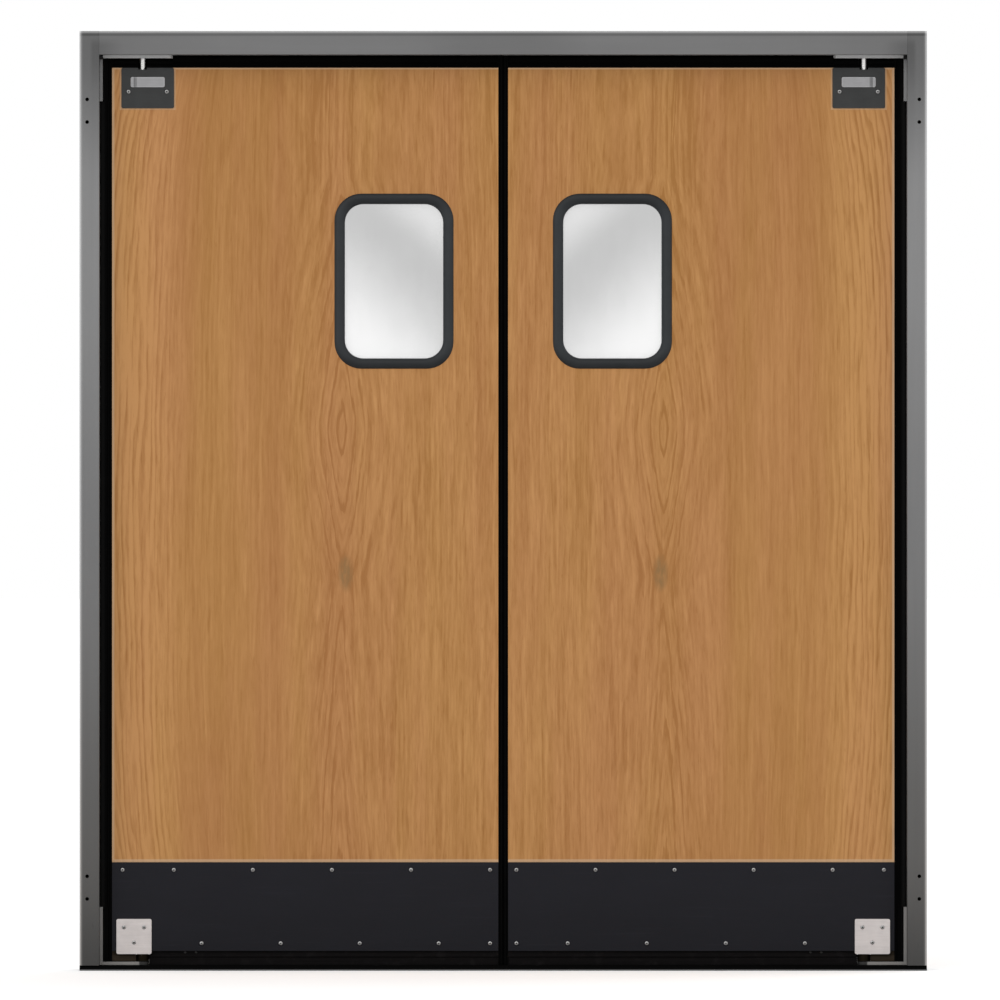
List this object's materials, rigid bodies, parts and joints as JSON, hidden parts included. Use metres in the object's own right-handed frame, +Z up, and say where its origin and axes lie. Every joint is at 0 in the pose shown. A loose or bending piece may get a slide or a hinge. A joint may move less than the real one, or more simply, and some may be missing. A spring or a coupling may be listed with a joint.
{
  "type": "double swing door",
  "caption": "Pair of double-acting swing doors in a folded steel frame, with oak laminate leaves, rubber-framed windows, kick plates, edge gaskets and pivot hinges.",
  "frame": {"origin": "floor level, midway between the jambs and midway through the depth of the frame", "axes": "+Z up, +X to the right when looking at the front, front of the door towards -Y"},
  "size_m": [1.947, 0.12, 2.159],
  "materials": {
    "frame_paint": "satin grey paint",
    "threshold_black": "black anodised",
    "bracket_paint": "satin grey paint",
    "gasket_rubber": "matte black rubber",
    "oak_laminate": "satin laminate with a straight oak grain",
    "core_wood": "bare timber core",
    "kick_plastic": "fine textured black plastic",
    "window_rubber": "charcoal rubber",
    "window_glass": "clear",
    "plate_dark": "dark grey paint",
    "plate_bright": "satin steel",
    "block_metal": "satin",
    "bush_nylon": "natural nylon",
    "collar_bronze": "dull bronze",
    "pin_steel": "turned steel",
    "screw_steel": "plated steel",
    "clip_steel": "zinc plated"
  },
  "bodies": {
    "frame": {"header": "frame_paint", "threshold": "threshold_black", "frame_clips": "clip_steel", "bracket_screws": "screw_steel", "left_jamb": "frame_paint", "left_header_bracket": "bracket_paint", "left_lower_bracket": "bracket_paint", "left_upper_pivot_pin": "pin_steel", "left_lower_pivot_pin": "pin_steel", "left_thrust_collar": "collar_bronze", "right_jamb": "frame_paint", "right_header_bracket": "bracket_paint", "right_lower_bracket": "bracket_paint", "right_upper_pivot_pin": "pin_steel", "right_lower_pivot_pin": "pin_steel", "right_thrust_collar": "collar_bronze"},
    "left_leaf": {"left_core": "core_wood", "left_front_laminate": "oak_laminate", "left_rear_laminate": "oak_laminate", "left_front_kick_plate": "kick_plastic", "left_rear_kick_plate": "kick_plastic", "left_kick_plate_screws": "screw_steel", "left_window_moulding": "window_rubber", "left_window_pane": "window_glass", "left_upper_hinge_plate_front": "plate_dark", "left_upper_hinge_plate_rear": "plate_dark", "left_upper_bearing_block": "block_metal", "left_upper_bush": "bush_nylon", "left_lower_hinge_plate_front": "plate_bright", "left_lower_hinge_plate_rear": "plate_bright", "left_lower_bearing_block": "block_metal", "left_lower_bush": "bush_nylon", "left_hinge_plate_screws": "screw_steel", "left_hinge_gasket": "gasket_rubber", "left_meeting_gasket": "gasket_rubber", "left_top_gasket": "gasket_rubber", "left_heel_gasket": "gasket_rubber", "left_bottom_sweep": "gasket_rubber"},
    "right_leaf": {"right_core": "core_wood", "right_front_laminate": "oak_laminate", "right_rear_laminate": "oak_laminate", "right_front_kick_plate": "kick_plastic", "right_rear_kick_plate": "kick_plastic", "right_kick_plate_screws": "screw_steel", "right_window_moulding": "window_rubber", "right_window_pane": "window_glass", "right_upper_hinge_plate_front": "plate_dark", "right_upper_hinge_plate_rear": "plate_dark", "right_upper_bearing_block": "block_metal", "right_upper_bush": "bush_nylon", "right_lower_hinge_plate_front": "plate_bright", "right_lower_hinge_plate_rear": "plate_bright", "right_lower_bearing_block": "block_metal", "right_lower_bush": "bush_nylon", "right_hinge_plate_screws": "screw_steel", "right_hinge_gasket": "gasket_rubber", "right_meeting_gasket": "gasket_rubber", "right_top_gasket": "gasket_rubber", "right_heel_gasket": "gasket_rubber", "right_bottom_sweep": "gasket_rubber"}
  },
  "joints": [
    {"name": "left_swing", "type": "hinge", "parent": "frame", "child": "left_leaf", "pos_m": [-0.83, 0, 1], "axis": [0, 0, 1], "range_deg": [-90, 90], "stiffness_Nm_per_rad": 6},
    {"name": "right_swing", "type": "hinge", "parent": "frame", "child": "right_leaf", "pos_m": [0.83, 0, 1], "axis": [0, 0, -1], "range_deg": [-90, 90], "stiffness_Nm_per_rad": 6}
  ]
}
